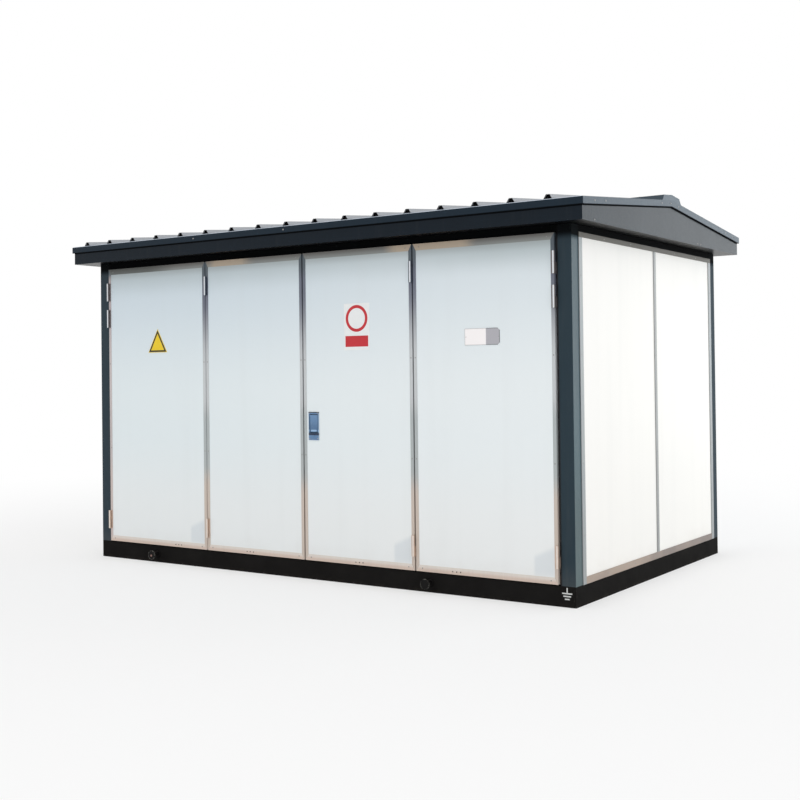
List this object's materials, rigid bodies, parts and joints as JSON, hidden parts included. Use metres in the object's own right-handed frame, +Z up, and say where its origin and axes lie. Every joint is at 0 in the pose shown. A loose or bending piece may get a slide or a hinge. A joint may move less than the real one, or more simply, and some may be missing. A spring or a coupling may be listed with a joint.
{
  "type": "compact substation housing",
  "caption": "Walk-up compact substation housing with side-hung doors along the front, panelled end walls, a low ribbed gable roof and a skid base.",
  "frame": {"origin": "bottom centre of the skid base, on the ground", "axes": "+Z up; -Y is the front with the doors; +X runs along the front to the right as seen facing the doors"},
  "size_m": [4.19, 2.665, 2.4775],
  "materials": {
    "base_black": "semi-gloss black paint",
    "frame_anthracite": "anthracite powder coat",
    "panel_white": "white coated steel skin",
    "edge_aluminium": "mill aluminium section",
    "roof_anthracite": "colour-coated roof sheet",
    "ceiling_white": "white coated steel skin",
    "floor_steel": "grey painted chequer plate",
    "hinge_steel": "bright steel",
    "lock_blue": "blue-grey lacquer",
    "sign_yellow": "gloss sign plate",
    "sign_white": "gloss sign plate",
    "nameplate_steel": "brushed sheet"
  },
  "bodies": {
    "root": {"long_base_channels": "base_black", "end_base_channels": "base_black", "base_cross_members": "base_black", "lifting_stubs": "base_black", "floor_plate": "floor_steel", "corner_posts": "frame_anthracite", "door_posts": "frame_anthracite", "door_headers": "frame_anthracite", "end_headers": "frame_anthracite", "ceiling_panel": "ceiling_white", "roof_trusses": "frame_anthracite", "right_wall_panels": "panel_white", "left_wall_panels": "panel_white", "end_wall_trims": "edge_aluminium", "roof_sheet_front": "roof_anthracite", "roof_sheet_rear": "roof_anthracite", "ridge_cap": "roof_anthracite", "eave_bands": "roof_anthracite", "verge_bands": "roof_anthracite", "eave_fascias": "roof_anthracite", "gable_fascias": "roof_anthracite", "eave_soffits": "roof_anthracite", "gable_soffits": "roof_anthracite", "rear_leaf_panels": "panel_white", "rear_leaf_trims": "edge_aluminium", "rear_leaf_hinges": "hinge_steel", "rear_frame_hinges": "hinge_steel", "front_frame_hinges": "hinge_steel"},
    "door_1": {"door_1_panel": "panel_white", "door_1_trim": "edge_aluminium", "door_1_hinges": "hinge_steel", "triangle_plate": "sign_yellow"},
    "door_2": {"door_2_panel": "panel_white", "door_2_trim": "edge_aluminium", "door_2_hinges": "hinge_steel"},
    "door_3": {"door_3_panel": "panel_white", "door_3_trim": "edge_aluminium", "door_3_hinges": "hinge_steel", "lock_housing": "lock_blue", "prohibition_plate": "sign_white"},
    "door_4": {"door_4_panel": "panel_white", "door_4_trim": "edge_aluminium", "door_4_hinges": "hinge_steel", "nameplate": "nameplate_steel"},
    "lock_paddle": {"lock_paddle": "lock_blue"}
  },
  "joints": [
    {"name": "door_1_hinge", "type": "hinge", "parent": "root", "child": "door_1", "pos_m": [-1.847, -1.2115, 1.136], "axis": [0, 0, -1], "range_deg": [0, 120]},
    {"name": "door_2_hinge", "type": "hinge", "parent": "root", "child": "door_2", "pos_m": [-0.863, -1.2115, 1.136], "axis": [0, 0, -1], "range_deg": [0, 90]},
    {"name": "door_3_hinge", "type": "hinge", "parent": "root", "child": "door_3", "pos_m": [0.863, -1.2115, 1.136], "axis": [0, 0, 1], "range_deg": [0, 90]},
    {"name": "door_4_hinge", "type": "hinge", "parent": "root", "child": "door_4", "pos_m": [1.847, -1.2115, 1.136], "axis": [0, 0, 1], "range_deg": [0, 120]},
    {"name": "lock_paddle_hinge", "type": "hinge", "parent": "door_3", "child": "lock_paddle", "pos_m": [0.085, -1.199, 1.075], "axis": [-1, 0, 0], "range_deg": [0, 30]}
  ]
}
